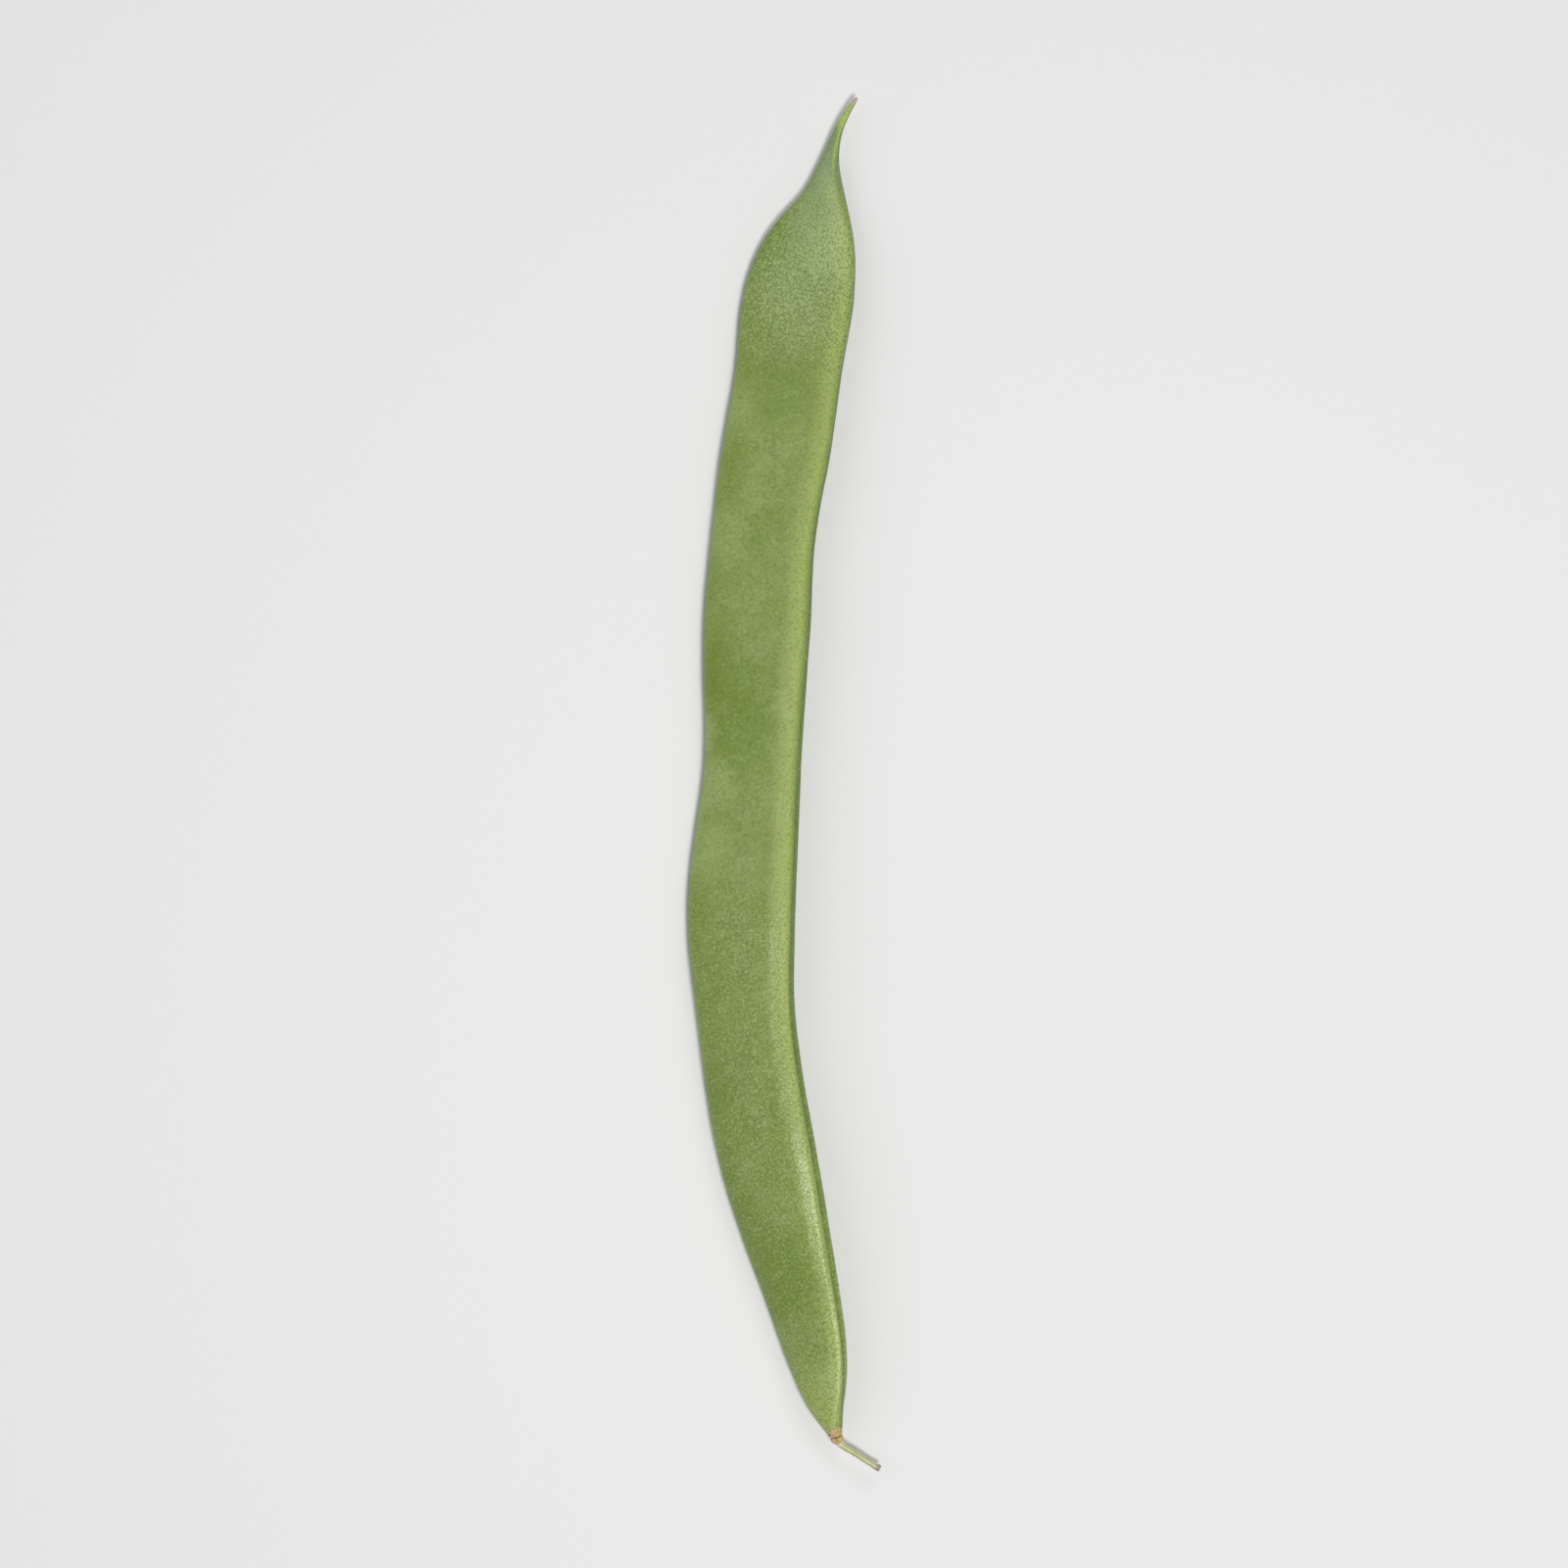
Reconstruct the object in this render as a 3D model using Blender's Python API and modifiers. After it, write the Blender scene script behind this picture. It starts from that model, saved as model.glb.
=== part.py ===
"""A flat-podded green bean, picked with its stalk and lying on its broad side.

The pod lies along Y with its beak at +Y. Its belly seam, the one that the seeds hang from, faces +X, and its
back seam faces -X. The world's origin is under the middle of the bean, on the surface that it lies on.
The dimensions below are in millimetres, and the objects are in metres.
"""

import math

import bmesh
import bpy
import numpy as np
from mathutils import Matrix, Vector

MM = 0.001
GAP = 0.3  # left between grown-together pieces, so that each stays a solid of its own

# The pod's two ends along Y, before the whole bean is centred on the origin.
NECK_Y = -106.6
TIP_Y = 112.2
NECK_ROUNDING = 0.5  # length over which the neck's blunt end closes
TIP_ROUNDING = 0.4  # the same at the tip of the beak

# (y, x) of the pod's middle line, which bows to -X and leans to +X at both ends.
MIDDLE_LINE = (
    (-107.0, 8.6),
    (-104.5, 7.75),
    (-102.0, 6.95),
    (-97.0, 5.9),
    (-86.0, 3.43),
    (-63.0, -2.45),
    (-40.0, -6.12),
    (-21.0, -7.1),
    (0.0, -5.48),
    (20.0, -4.77),
    (45.0, -2.86),
    (65.0, 0.36),
    (82.0, 3.0),
    (91.0, 5.5),
    (96.0, 6.7),
    (100.0, 7.3),
    (104.0, 8.1),
    (108.0, 9.5),
    (112.2, 12.0),
)
# (y, distance) from the middle line to either side, as seen from above.
HALF_WIDTH = (
    (-107.0, 1.05),
    (-105.5, 1.6),
    (-103.4, 2.4),
    (-98.6, 3.9),
    (-86.0, 5.78),
    (-75.0, 6.84),
    (-63.0, 7.75),
    (-38.6, 7.83),
    (-21.0, 8.6),
    (4.0, 7.72),
    (26.0, 8.53),
    (40.0, 8.29),
    (57.0, 8.65),
    (68.0, 8.46),
    (79.0, 8.9),
    (85.0, 8.1),
    (91.2, 6.0),
    (96.0, 3.6),
    (99.2, 2.35),
    (102.4, 1.42),
    (105.5, 0.88),
    (108.7, 0.58),
    (112.2, 0.3),
)
# (y, distance) from the middle of the pod out to either broad face.
HALF_THICKNESS = (
    (-107.0, 0.9),
    (-105.5, 1.25),
    (-103.0, 1.75),
    (-97.0, 2.5),
    (-86.0, 3.1),
    (-63.0, 3.7),
    (-20.0, 3.85),
    (20.0, 3.7),
    (60.0, 3.8),
    (80.0, 3.3),
    (88.0, 2.6),
    (94.0, 1.9),
    (100.0, 1.25),
    (104.0, 0.8),
    (108.0, 0.55),
    (112.2, 0.3),
)
# (y, degrees) that the belly seam is rolled up off the surface, as the pod twists along its length.
ROLL = (
    (-106.0, 31.0),
    (-85.0, 32.0),
    (-60.0, 27.0),
    (-20.0, 20.0),
    (20.0, 15.0),
    (60.0, 8.0),
    (90.0, 4.0),
    (112.2, 0.0),
)
# (y, height) of the pod's lowest line above the surface: it rests along its middle, and both ends lift clear.
LIFT = (
    (-106.0, 2.6),
    (-92.0, 0.6),
    (-76.0, 0.0),
    (-60.0, 0.0),
    (60.0, 0.0),
    (76.0, 0.0),
    (92.0, 0.9),
    (112.2, 3.2),
)
REST_FLAT = 0.25  # how far the soft underside is pressed flat where it rests

SECTION_POWER = 2.45  # superellipse power of the flat pod's section; its round ends have 2
ROUND_UNDER = 1.5  # half width below which the section is round
FLAT_OVER = 6.0  # half width above which it is fully flat

# The belly seam is two rounded cords with a groove between, and the back seam is one low keel.
BELLY_CORD = (1.5, 0.50, 0.75)  # distance from the seam, height, spread
BELLY_GROOVE = (0.0, -0.16, 0.30)
BACK_KEEL = (0.0, 0.14, 0.45)
SEAM_FULL_OVER = 3.0  # half thickness over which the seams have their full size
SEAM_SIDES = (0.75, 0.95)  # share of the half width where the seams' shapes begin, and where they are full

# The seeds, still small, raise both broad faces a little.
SEED_PITCH = 19.0
SEED_Y = -72.0  # of the first seed
SEED_COUNT = 9
SEED_RISE = 0.16
SEED_LENGTH = 5.5  # spread along the pod
SEED_REACH = 3.6  # spread across it
SEED_OFFSET = 0.8  # from the middle line, towards the belly seam

POD_SIDES = 40
POD_RINGS = 68
CROWDING = 0.3  # how much the sides crowd towards the two seams
SLOPE_STEP = 0.5  # reach over which the middle line's slope is read
SECTION_TURNS = 96  # points of a section that are tried to find its lowest
NECK_AIM = 2.0  # length of pod that gives the neck's direction

# The dried calyx is a dished collar: (radius, height above the middle of its dish) along its outline.
COLLAR_OUTLINE = (
    (0.0, 0.0),
    (0.60, 0.05),
    (1.00, 0.22),
    (1.20, 0.42),
    (1.33, 0.30),
    (1.30, -0.05),
    (1.16, -0.50),
    (0.94, -0.95),
    (0.66, -1.28),
    (0.0, -1.35),
)
COLLAR_SIDES = 32

# The stalk: (x, y, z) of its bends counted from the collar's foot, and its radius there.
STALK_BENDS = (
    (0.30, 0.05, 0.0, 0.56),
    (2.0, -1.0, 0.2, 0.46),
    (4.2, -2.4, 0.2, 0.45),
    (6.4, -3.75, -0.2, 0.56),
)
STALK_SMOOTHNESS = 8

POD_GREEN = (0.235, 0.352, 0.108, 1.0)
CALYX_TAN = (0.42, 0.25, 0.14, 1.0)
STALK_GREEN = (0.40, 0.44, 0.17, 1.0)


def smooth_curve(points):
    """The natural cubic spline through (y, value) points, as a function of an array of y."""
    y, value = np.array(points, float).T
    step = np.diff(y)
    slope = np.diff(value) / step
    count = len(y)
    system = np.eye(count)
    turn = np.zeros(count)
    for i in range(1, count - 1):
        system[i, i - 1 : i + 2] = step[i - 1], 2.0 * (step[i - 1] + step[i]), step[i]
        turn[i] = 6.0 * (slope[i] - slope[i - 1])
    bend = np.linalg.solve(system, turn)

    def at(where):
        i = np.clip(np.searchsorted(y, where) - 1, 0, count - 2)
        before, after = where - y[i], y[i + 1] - where
        cubic = (bend[i] * after**3 + bend[i + 1] * before**3) / (6.0 * step[i])
        from_start = (value[i] / step[i] - bend[i] * step[i] / 6.0) * after
        from_end = (value[i + 1] / step[i] - bend[i + 1] * step[i] / 6.0) * before
        return cubic + from_start + from_end

    return at


def ramp(value, low, high):
    """0 below low and 1 above high, smooth between."""
    share = np.clip((value - low) / (high - low), 0.0, 1.0)
    return share * share * (3.0 - 2.0 * share)


def blunt_end(distance, rounding):
    """How much of its width a section keeps at this distance from a rounded end."""
    return np.sqrt(1.0 - (1.0 - np.clip(distance / rounding, 0.0, 1.0)) ** 2)


def ridge(off_seam, shape):
    """Height of a ridge, or depth of a furrow, that runs along both sides of a seam."""
    place, height, spread = shape
    return height * np.exp(-(((np.abs(off_seam) - place) / spread) ** 2))


middle_line = smooth_curve(MIDDLE_LINE)
half_width = smooth_curve(HALF_WIDTH)
half_thickness = smooth_curve(HALF_THICKNESS)
roll = smooth_curve(ROLL)
lift = smooth_curve(LIFT)


def unrolled(seen, thick, angle, power):
    """Half width of a superellipse which, rolled by this angle, is seen from above with half width seen."""
    dual = power / (power - 1.0)
    from_width = seen**dual - (thick * np.sin(angle)) ** dual
    return from_width ** (1.0 / dual) / np.cos(angle)


def section(y, around):
    """The pod's section at y: how far towards the belly seam and how far up each point is, before the roll."""
    seen, thick = half_width(y), half_thickness(y)
    power = 2.0 + (SECTION_POWER - 2.0) * ramp(seen, ROUND_UNDER, FLAT_OVER)
    wide = unrolled(seen, thick, np.radians(roll(y)), power)
    out, up = np.cos(around), np.sin(around)
    radius = (np.abs(out) ** power + np.abs(up) ** power) ** (-1.0 / power)
    across, rise = wide * radius * out, thick * radius * up

    seam_size = ramp(thick, 0.0, SEAM_FULL_OVER)
    belly = ridge(rise, BELLY_CORD) + ridge(rise, BELLY_GROOVE)
    back = ridge(rise, BACK_KEEL)
    near_seam = ramp(np.abs(out), *SEAM_SIDES)
    across = across + seam_size * near_seam * np.where(out > 0.0, belly, -back)
    return across, rise


def seed_rise(y, across):
    """How far the row of seeds raises a broad face at a point of it."""
    total = np.zeros_like(across)
    for number in range(SEED_COUNT):
        along = (y - SEED_Y - number * SEED_PITCH) / SEED_LENGTH
        total += np.exp(-(along**2) - ((across - SEED_OFFSET) / SEED_REACH) ** 2)
    return SEED_RISE * total


def rolled(y, across, rise):
    """A point of the section after its roll: how far to +X of the middle line, and how far above it."""
    angle = np.radians(roll(y))
    side = across * np.cos(angle) - rise * np.sin(angle)
    up = across * np.sin(angle) + rise * np.cos(angle)
    return side, up


def middle_height(y):
    """Height of the middle line, which puts the lowest point of each rolled section where LIFT says."""
    turns = np.linspace(0.0, 2.0 * math.pi, SECTION_TURNS, endpoint=False)
    across, rise = section(y[:, None], turns[None, :])
    _, up = rolled(y[:, None], across, rise)
    return lift(y) - REST_FLAT - up.min(axis=1)


def slope_of_middle(y):
    """How fast the middle line's x changes with y."""
    return (middle_line(y + SLOPE_STEP) - middle_line(y - SLOPE_STEP)) / (2.0 * SLOPE_STEP)


def pod_skin(station, around):
    """Points of the pod's skin in millimetres; station runs from -1 at the neck to 1 at the tip of the beak."""
    y = 0.5 * (NECK_Y + TIP_Y) + 0.5 * (TIP_Y - NECK_Y) * station
    across, rise = section(y, around)
    side, up = rolled(y, across, rise + np.sign(rise) * seed_rise(y, across))
    closing = blunt_end(y - NECK_Y, NECK_ROUNDING) * blunt_end(TIP_Y - y, TIP_ROUNDING)
    slope = slope_of_middle(y)
    sideways = closing * side / np.sqrt(1.0 + slope**2)
    skin_x = middle_line(y) + sideways
    skin_y = y - sideways * slope
    skin_z = middle_height(y) + closing * up
    return np.stack((skin_x, skin_y, np.maximum(skin_z, 0.0)), axis=1)


def material(name, colour, roughness):
    made = bpy.data.materials.new(name)
    made.use_nodes = True
    shader = made.node_tree.nodes["Principled BSDF"]
    shader.inputs["Base Color"].default_value = colour
    shader.inputs["Roughness"].default_value = roughness
    shader.inputs["Metallic"].default_value = 0.0
    return made


def add_part(name, mesh_or_curve, finish, collection):
    made = bpy.data.objects.new(name, mesh_or_curve)
    made.data.materials.append(finish)
    collection.objects.link(made)
    return made


def pod(collection):
    """A sphere with its poles at the neck and the beak, drawn out to the pod's skin."""
    bm = bmesh.new()
    poles_along_y = Matrix.Rotation(math.radians(-90.0), 4, "X")
    bmesh.ops.create_uvsphere(
        bm, u_segments=POD_SIDES, v_segments=POD_RINGS, radius=1.0, matrix=poles_along_y
    )
    ball = np.array([v.co for v in bm.verts])
    around = np.arctan2(ball[:, 2], ball[:, 0])
    crowded = around - CROWDING * np.sin(2.0 * around)
    for vert, place in zip(bm.verts, pod_skin(ball[:, 1], crowded)):
        vert.co = Vector(place) * MM
    bmesh.ops.recalc_face_normals(bm, faces=bm.faces)
    mesh = bpy.data.meshes.new("pod")
    bm.to_mesh(mesh)
    bm.free()
    mesh.shade_smooth()
    return add_part("pod", mesh, material("bean skin", POD_GREEN, 0.5), collection)


def neck_frame():
    """The point at the neck's end and the direction from it into the pod, in millimetres."""
    y = np.array([NECK_Y, NECK_Y + NECK_AIM])
    start, inside = (Vector(p) for p in np.stack((middle_line(y), y, middle_height(y)), axis=1))
    return start, (inside - start).normalized()


def calyx(collection, start, into_pod):
    """A turned collar whose dish stands one gap below the end of the neck."""
    mesh = bpy.data.meshes.new("calyx")
    bm = bmesh.new()
    outline = [bm.verts.new((radius * MM, 0.0, height * MM)) for radius, height in COLLAR_OUTLINE]
    for upper, lower in zip(outline, outline[1:]):
        bm.edges.new((upper, lower))
    bm.to_mesh(mesh)
    bm.free()
    made = add_part("calyx", mesh, material("dried calyx", CALYX_TAN, 0.8), collection)
    made.location = (start - into_pod * GAP) * MM
    made.rotation_euler = into_pod.to_track_quat("Z", "Y").to_euler()
    turned = made.modifiers.new("turned", "SCREW")
    turned.axis = "Z"
    turned.angle = 2.0 * math.pi
    turned.steps = COLLAR_SIDES
    turned.render_steps = COLLAR_SIDES
    turned.use_merge_vertices = True
    turned.merge_threshold = 0.00001
    turned.use_smooth_shade = True
    return made


def stalk(collection, start, into_pod):
    """A thin tube from one gap under the collar, swollen where it joins and where it broke off."""
    curve = bpy.data.curves.new("stalk", "CURVE")
    curve.dimensions = "3D"
    curve.bevel_depth = MM
    curve.bevel_resolution = 3
    curve.use_fill_caps = True
    curve.resolution_u = STALK_SMOOTHNESS
    spline = curve.splines.new("BEZIER")
    spline.bezier_points.add(len(STALK_BENDS) - 1)
    collar_depth = -COLLAR_OUTLINE[-1][1]
    under_collar = start - into_pod * (GAP + collar_depth + GAP)
    for point, (x, y, z, radius) in zip(spline.bezier_points, STALK_BENDS):
        point.co = (under_collar + Vector((x, y, z))) * MM
        point.radius = radius
        point.handle_left_type = point.handle_right_type = "AUTO"
    return add_part("stalk", curve, material("stalk", STALK_GREEN, 0.6), collection)


def centre_on_origin(parts):
    """Moves the bean so that the origin is under the middle of its box."""
    bpy.context.view_layer.update()
    depsgraph = bpy.context.evaluated_depsgraph_get()
    corners = []
    for part in parts:
        evaluated = part.evaluated_get(depsgraph)
        mesh = evaluated.to_mesh()
        corners += [part.matrix_world @ v.co for v in mesh.vertices]
        evaluated.to_mesh_clear()
    low = Vector(min(c[i] for c in corners) for i in range(3))
    high = Vector(max(c[i] for c in corners) for i in range(3))
    middle = Vector(((low.x + high.x) / 2.0, (low.y + high.y) / 2.0, low.z))
    for part in parts:
        part.location -= middle


def main():
    for old in list(bpy.data.objects):
        bpy.data.objects.remove(old, do_unlink=True)
    collection = bpy.data.collections.new("green_bean")
    bpy.context.scene.collection.children.link(collection)
    start, into_pod = neck_frame()
    parts = (
        pod(collection),
        calyx(collection, start, into_pod),
        stalk(collection, start, into_pod),
    )
    centre_on_origin(parts)


main()
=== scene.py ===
"""A flat-podded green bean, picked with its stalk and lying on its broad side.

The sections follow the bean as it grew: the pod, the dried calyx round its neck and the stalk that it hung
from. Lengths in the tables are in millimetres, in the pod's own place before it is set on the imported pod.
"""

import math

import bmesh
import bpy
import numpy as np
from mathutils import Matrix, Vector, noise


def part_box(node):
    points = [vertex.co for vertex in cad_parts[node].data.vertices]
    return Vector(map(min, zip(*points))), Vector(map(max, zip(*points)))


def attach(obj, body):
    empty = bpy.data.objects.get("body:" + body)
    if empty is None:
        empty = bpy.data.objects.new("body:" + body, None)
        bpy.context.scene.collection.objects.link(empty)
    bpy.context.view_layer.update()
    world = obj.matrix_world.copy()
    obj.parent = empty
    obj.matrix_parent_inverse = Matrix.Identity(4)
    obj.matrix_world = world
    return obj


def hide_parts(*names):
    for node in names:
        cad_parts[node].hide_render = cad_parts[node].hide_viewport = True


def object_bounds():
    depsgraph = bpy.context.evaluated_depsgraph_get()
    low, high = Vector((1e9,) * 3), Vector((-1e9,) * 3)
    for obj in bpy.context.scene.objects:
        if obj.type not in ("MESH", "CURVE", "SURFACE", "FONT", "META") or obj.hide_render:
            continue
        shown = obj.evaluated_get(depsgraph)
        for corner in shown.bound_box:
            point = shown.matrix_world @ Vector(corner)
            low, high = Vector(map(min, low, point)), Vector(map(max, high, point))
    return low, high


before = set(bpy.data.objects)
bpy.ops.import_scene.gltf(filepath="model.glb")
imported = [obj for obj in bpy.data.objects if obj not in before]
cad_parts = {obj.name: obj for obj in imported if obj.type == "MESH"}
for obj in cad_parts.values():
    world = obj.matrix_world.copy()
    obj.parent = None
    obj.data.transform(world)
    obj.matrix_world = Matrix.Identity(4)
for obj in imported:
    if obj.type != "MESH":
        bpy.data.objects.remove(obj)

cad_low, cad_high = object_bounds()

# ----------------------------------------------------------------------------------------------------------
# The pod. One fleshy fruit: two broad walls that meet at the belly seam, which the seeds hang from, and at
# the back seam, and run out into the beak. It grew as one piece, and a thin waxy cuticle covers all of it.
# ----------------------------------------------------------------------------------------------------------
MM = 0.001
NECK_Y = -106.6
TIP_Y = 112.2
NECK_ROUNDING = 0.5  # length over which the neck's blunt end closes
TIP_ROUNDING = 0.4  # the same at the tip of the beak

# (y, x) of the pod's middle line.
MIDDLE_LINE = (
    (-107.0, 8.6),
    (-104.5, 7.75),
    (-102.0, 6.95),
    (-97.0, 5.9),
    (-86.0, 3.43),
    (-63.0, -2.45),
    (-40.0, -6.12),
    (-21.0, -7.1),
    (0.0, -5.48),
    (20.0, -4.77),
    (45.0, -2.86),
    (65.0, 0.36),
    (82.0, 3.0),
    (91.0, 5.5),
    (96.0, 6.7),
    (100.0, 7.3),
    (104.0, 8.1),
    (108.0, 9.5),
    (112.2, 12.0),
)
# (y, distance) from the middle line to either side, as seen from above.
HALF_WIDTH = (
    (-107.0, 1.05),
    (-105.5, 1.6),
    (-103.4, 2.4),
    (-98.6, 3.9),
    (-86.0, 5.78),
    (-75.0, 6.84),
    (-63.0, 7.75),
    (-38.6, 7.83),
    (-21.0, 8.6),
    (4.0, 7.72),
    (26.0, 8.53),
    (40.0, 8.29),
    (57.0, 8.65),
    (68.0, 8.46),
    (79.0, 8.9),
    (85.0, 8.1),
    (91.2, 6.0),
    (96.0, 3.6),
    (99.2, 2.35),
    (102.4, 1.42),
    (105.5, 0.88),
    (108.7, 0.58),
    (112.2, 0.3),
)
# (y, distance) from the middle of the pod out to either broad face.
HALF_THICKNESS = (
    (-107.0, 0.9),
    (-105.5, 1.25),
    (-103.0, 1.75),
    (-97.0, 2.5),
    (-86.0, 3.1),
    (-63.0, 3.7),
    (-20.0, 3.85),
    (20.0, 3.7),
    (60.0, 3.8),
    (80.0, 3.3),
    (88.0, 2.6),
    (94.0, 1.9),
    (100.0, 1.25),
    (104.0, 0.8),
    (108.0, 0.55),
    (112.2, 0.3),
)
# (y, degrees) that the belly seam is rolled up off the surface.
ROLL = (
    (-106.0, 31.0),
    (-85.0, 32.0),
    (-60.0, 27.0),
    (-20.0, 20.0),
    (20.0, 15.0),
    (60.0, 8.0),
    (90.0, 4.0),
    (112.2, 0.0),
)
# (y, height) of the pod's lowest line above the surface.
LIFT = (
    (-106.0, 2.6),
    (-92.0, 0.6),
    (-76.0, 0.0),
    (-60.0, 0.0),
    (60.0, 0.0),
    (76.0, 0.0),
    (92.0, 0.9),
    (112.2, 3.2),
)
REST_FLAT = 0.25  # how far the soft underside is pressed flat where it rests

SECTION_POWER = 2.45  # superellipse power of the flat pod's section; its round ends have 2
ROUND_UNDER = 1.5  # half width below which the section is round
FLAT_OVER = 6.0  # half width above which it is fully flat

# (distance from the seam, height, spread) of the belly seam's two cords, its groove and the back's keel.
BELLY_CORD = (1.5, 0.50, 0.75)
BELLY_GROOVE = (0.0, -0.20, 0.28)
BACK_KEEL = (0.0, 0.14, 0.45)
SEAM_FULL_OVER = 3.0  # half thickness over which the seams have their full size
SEAM_SIDES = (0.75, 0.95)  # share of the half width where the seams' shapes begin, and where they are full
SEAM_WANDER = 0.12  # how far the groove strays from the seam
SEAM_WANDER_SIZE = 9.0  # length of one stray

SEED_PITCH = 19.0
SEED_Y = -72.0  # of the first seed
SEED_COUNT = 9
SEED_RISE = 0.24
SEED_LENGTH = 5.5  # spread along the pod
SEED_REACH = 3.6  # spread across it
SEED_OFFSET = 0.8  # from the middle line, towards the belly seam

LUMPS = (0.10, 9.0)  # height and size of the walls' unevenness
RIPPLES = (0.03, 2.4)
RELIEF_FROM = (0.5, 3.0)  # half thickness where the unevenness begins, and where it is full

POD_SIDES = 136
POD_RINGS = 700
CROWDING = 0.3  # how much the sides crowd towards the two seams
BAND_REACH = 7.0  # half width below which the bands of colour along the seams are narrower
BAND_SQUEEZE = 5.0  # how many times narrower they get at most
BAND_STRAY = 2.2  # times the clouds' strength, so that their edges stray by about 1 mm
PATCH_STRAY = 9.0  # the same for a patch's edge, which strays by about 4 mm
PATCH_CORE = 0.3  # share of a patch's reach in which it is full
# Patches of deeper green: the middle of each in the straight pod, how far it reaches and how strong it is.
# Those along the back edge at y -50 and -66 and at the shoulder, and the broad one at y -80 by the stalk, are
# painted shade.
DEEP_GREEN_AND_SHADE_PATCHES = (
    ((-0.5, 7.5, 3.5), 9.0, 0.62),
    ((-3.5, 16.0, 3.0), 9.0, 0.62),
    ((-8.0, 21.0, 1.0), 5.0, 0.25),
    ((-0.5, 63.0, 3.5), 8.0, 0.45),
    ((0.0, 41.0, 3.5), 6.0, 0.35),
    ((-2.0, -31.0, 3.5), 5.0, 0.22),
    # painted shadow along the back edge, and painted shade over the stalk end
    ((-8.5, -50.0, 0.5), 6.0, 0.40),
    ((-8.0, -66.0, 1.0), 10.0, 0.45),
    ((-2.0, -80.0, 2.5), 12.0, 0.58),
    # painted shade at the back edge of the shoulder
    ((-9.5, 87.0, 0.0), 9.5, 0.42),
    ((5.0, 97.0, 0.0), 4.5, 0.50),
)
# The same for paler places. The one on the belly shoulder below the beak is a painted sheen, where that
# shoulder turns towards the lamps.
PALE_AND_SHEEN_PATCHES = (
    ((-7.5, -1.0, 2.0), 8.0, 0.40),
    ((-8.5, 8.0, 1.0), 5.5, 0.48),
    ((-7.5, -11.0, 1.5), 8.0, 0.36),
    ((-6.5, 40.0, 2.0), 7.0, 0.26),
    ((-8.0, 60.0, 1.0), 7.0, 0.34),
    # painted sheen on the belly shoulder below the beak
    ((4.5, 88.5, 2.0), 7.5, 0.42),
    ((3.5, -97.0, 1.0), 5.0, 0.30),
)
SLOPE_STEP = 0.5  # reach over which the middle line's slope is read
SECTION_TURNS = 96  # points of a section that are tried to find its lowest
POLES_ALONG_Y = Matrix.Rotation(math.radians(-90.0), 4, "X")


def smooth_curve(points):
    """The natural cubic spline through (y, value) points, as a function of an array of y."""
    y, value = np.array(points, float).T
    step = np.diff(y)
    slope = np.diff(value) / step
    count = len(y)
    system = np.eye(count)
    turn = np.zeros(count)
    for i in range(1, count - 1):
        system[i, i - 1 : i + 2] = step[i - 1], 2.0 * (step[i - 1] + step[i]), step[i]
        turn[i] = 6.0 * (slope[i] - slope[i - 1])
    bend = np.linalg.solve(system, turn)

    def at(where):
        i = np.clip(np.searchsorted(y, where) - 1, 0, count - 2)
        before, after = where - y[i], y[i + 1] - where
        cubic = (bend[i] * after**3 + bend[i + 1] * before**3) / (6.0 * step[i])
        from_start = (value[i] / step[i] - bend[i] * step[i] / 6.0) * after
        from_end = (value[i + 1] / step[i] - bend[i + 1] * step[i] / 6.0) * before
        return cubic + from_start + from_end

    return at


def ramp(value, low, high):
    """0 below low and 1 above high, smooth between."""
    share = np.clip((value - low) / (high - low), 0.0, 1.0)
    return share * share * (3.0 - 2.0 * share)


def blunt_end(distance, rounding):
    """How much of its width a section keeps at this distance from a rounded end."""
    return np.sqrt(1.0 - (1.0 - np.clip(distance / rounding, 0.0, 1.0)) ** 2)


def ridge(off_seam, shape):
    """Height of a ridge, or depth of a furrow, that runs along both sides of a seam."""
    place, height, spread = shape
    return height * np.exp(-(((np.abs(off_seam) - place) / spread) ** 2))


def uneven(places, size, seed):
    """Smooth noise from -1 to 1 at each place, with lumps of about this size."""
    apart = Vector((seed, 0.37 * seed, -0.61 * seed))
    return np.array([noise.noise(Vector(place) / size + apart) for place in places])


def unrolled(seen, thick, angle, power):
    """Half width of a superellipse which, rolled by this angle, is seen from above with half width seen."""
    dual = power / (power - 1.0)
    from_width = seen**dual - (thick * np.abs(np.sin(angle))) ** dual
    return from_width ** (1.0 / dual) / np.cos(angle)


middle_line = smooth_curve(MIDDLE_LINE)
half_width = smooth_curve(HALF_WIDTH)
half_thickness = smooth_curve(HALF_THICKNESS)
roll = smooth_curve(ROLL)
lift = smooth_curve(LIFT)


def section(y, around, groove_at):
    """Points of the section at y before its roll: how far towards the belly seam and how far up each is."""
    seen, thick = half_width(y), half_thickness(y)
    power = 2.0 + (SECTION_POWER - 2.0) * ramp(seen, ROUND_UNDER, FLAT_OVER)
    wide = unrolled(seen, thick, np.radians(roll(y)), power)
    out, up = np.cos(around), np.sin(around)
    radius = (np.abs(out) ** power + np.abs(up) ** power) ** (-1.0 / power)
    across, rise = wide * radius * out, thick * radius * up

    seam_size = ramp(thick, 0.0, SEAM_FULL_OVER)
    belly = ridge(rise - groove_at, BELLY_CORD) + ridge(rise - groove_at, BELLY_GROOVE)
    back = ridge(rise, BACK_KEEL)
    near_seam = ramp(np.abs(out), *SEAM_SIDES)
    across = across + seam_size * near_seam * np.where(out > 0.0, belly, -back)
    return across, rise


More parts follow.
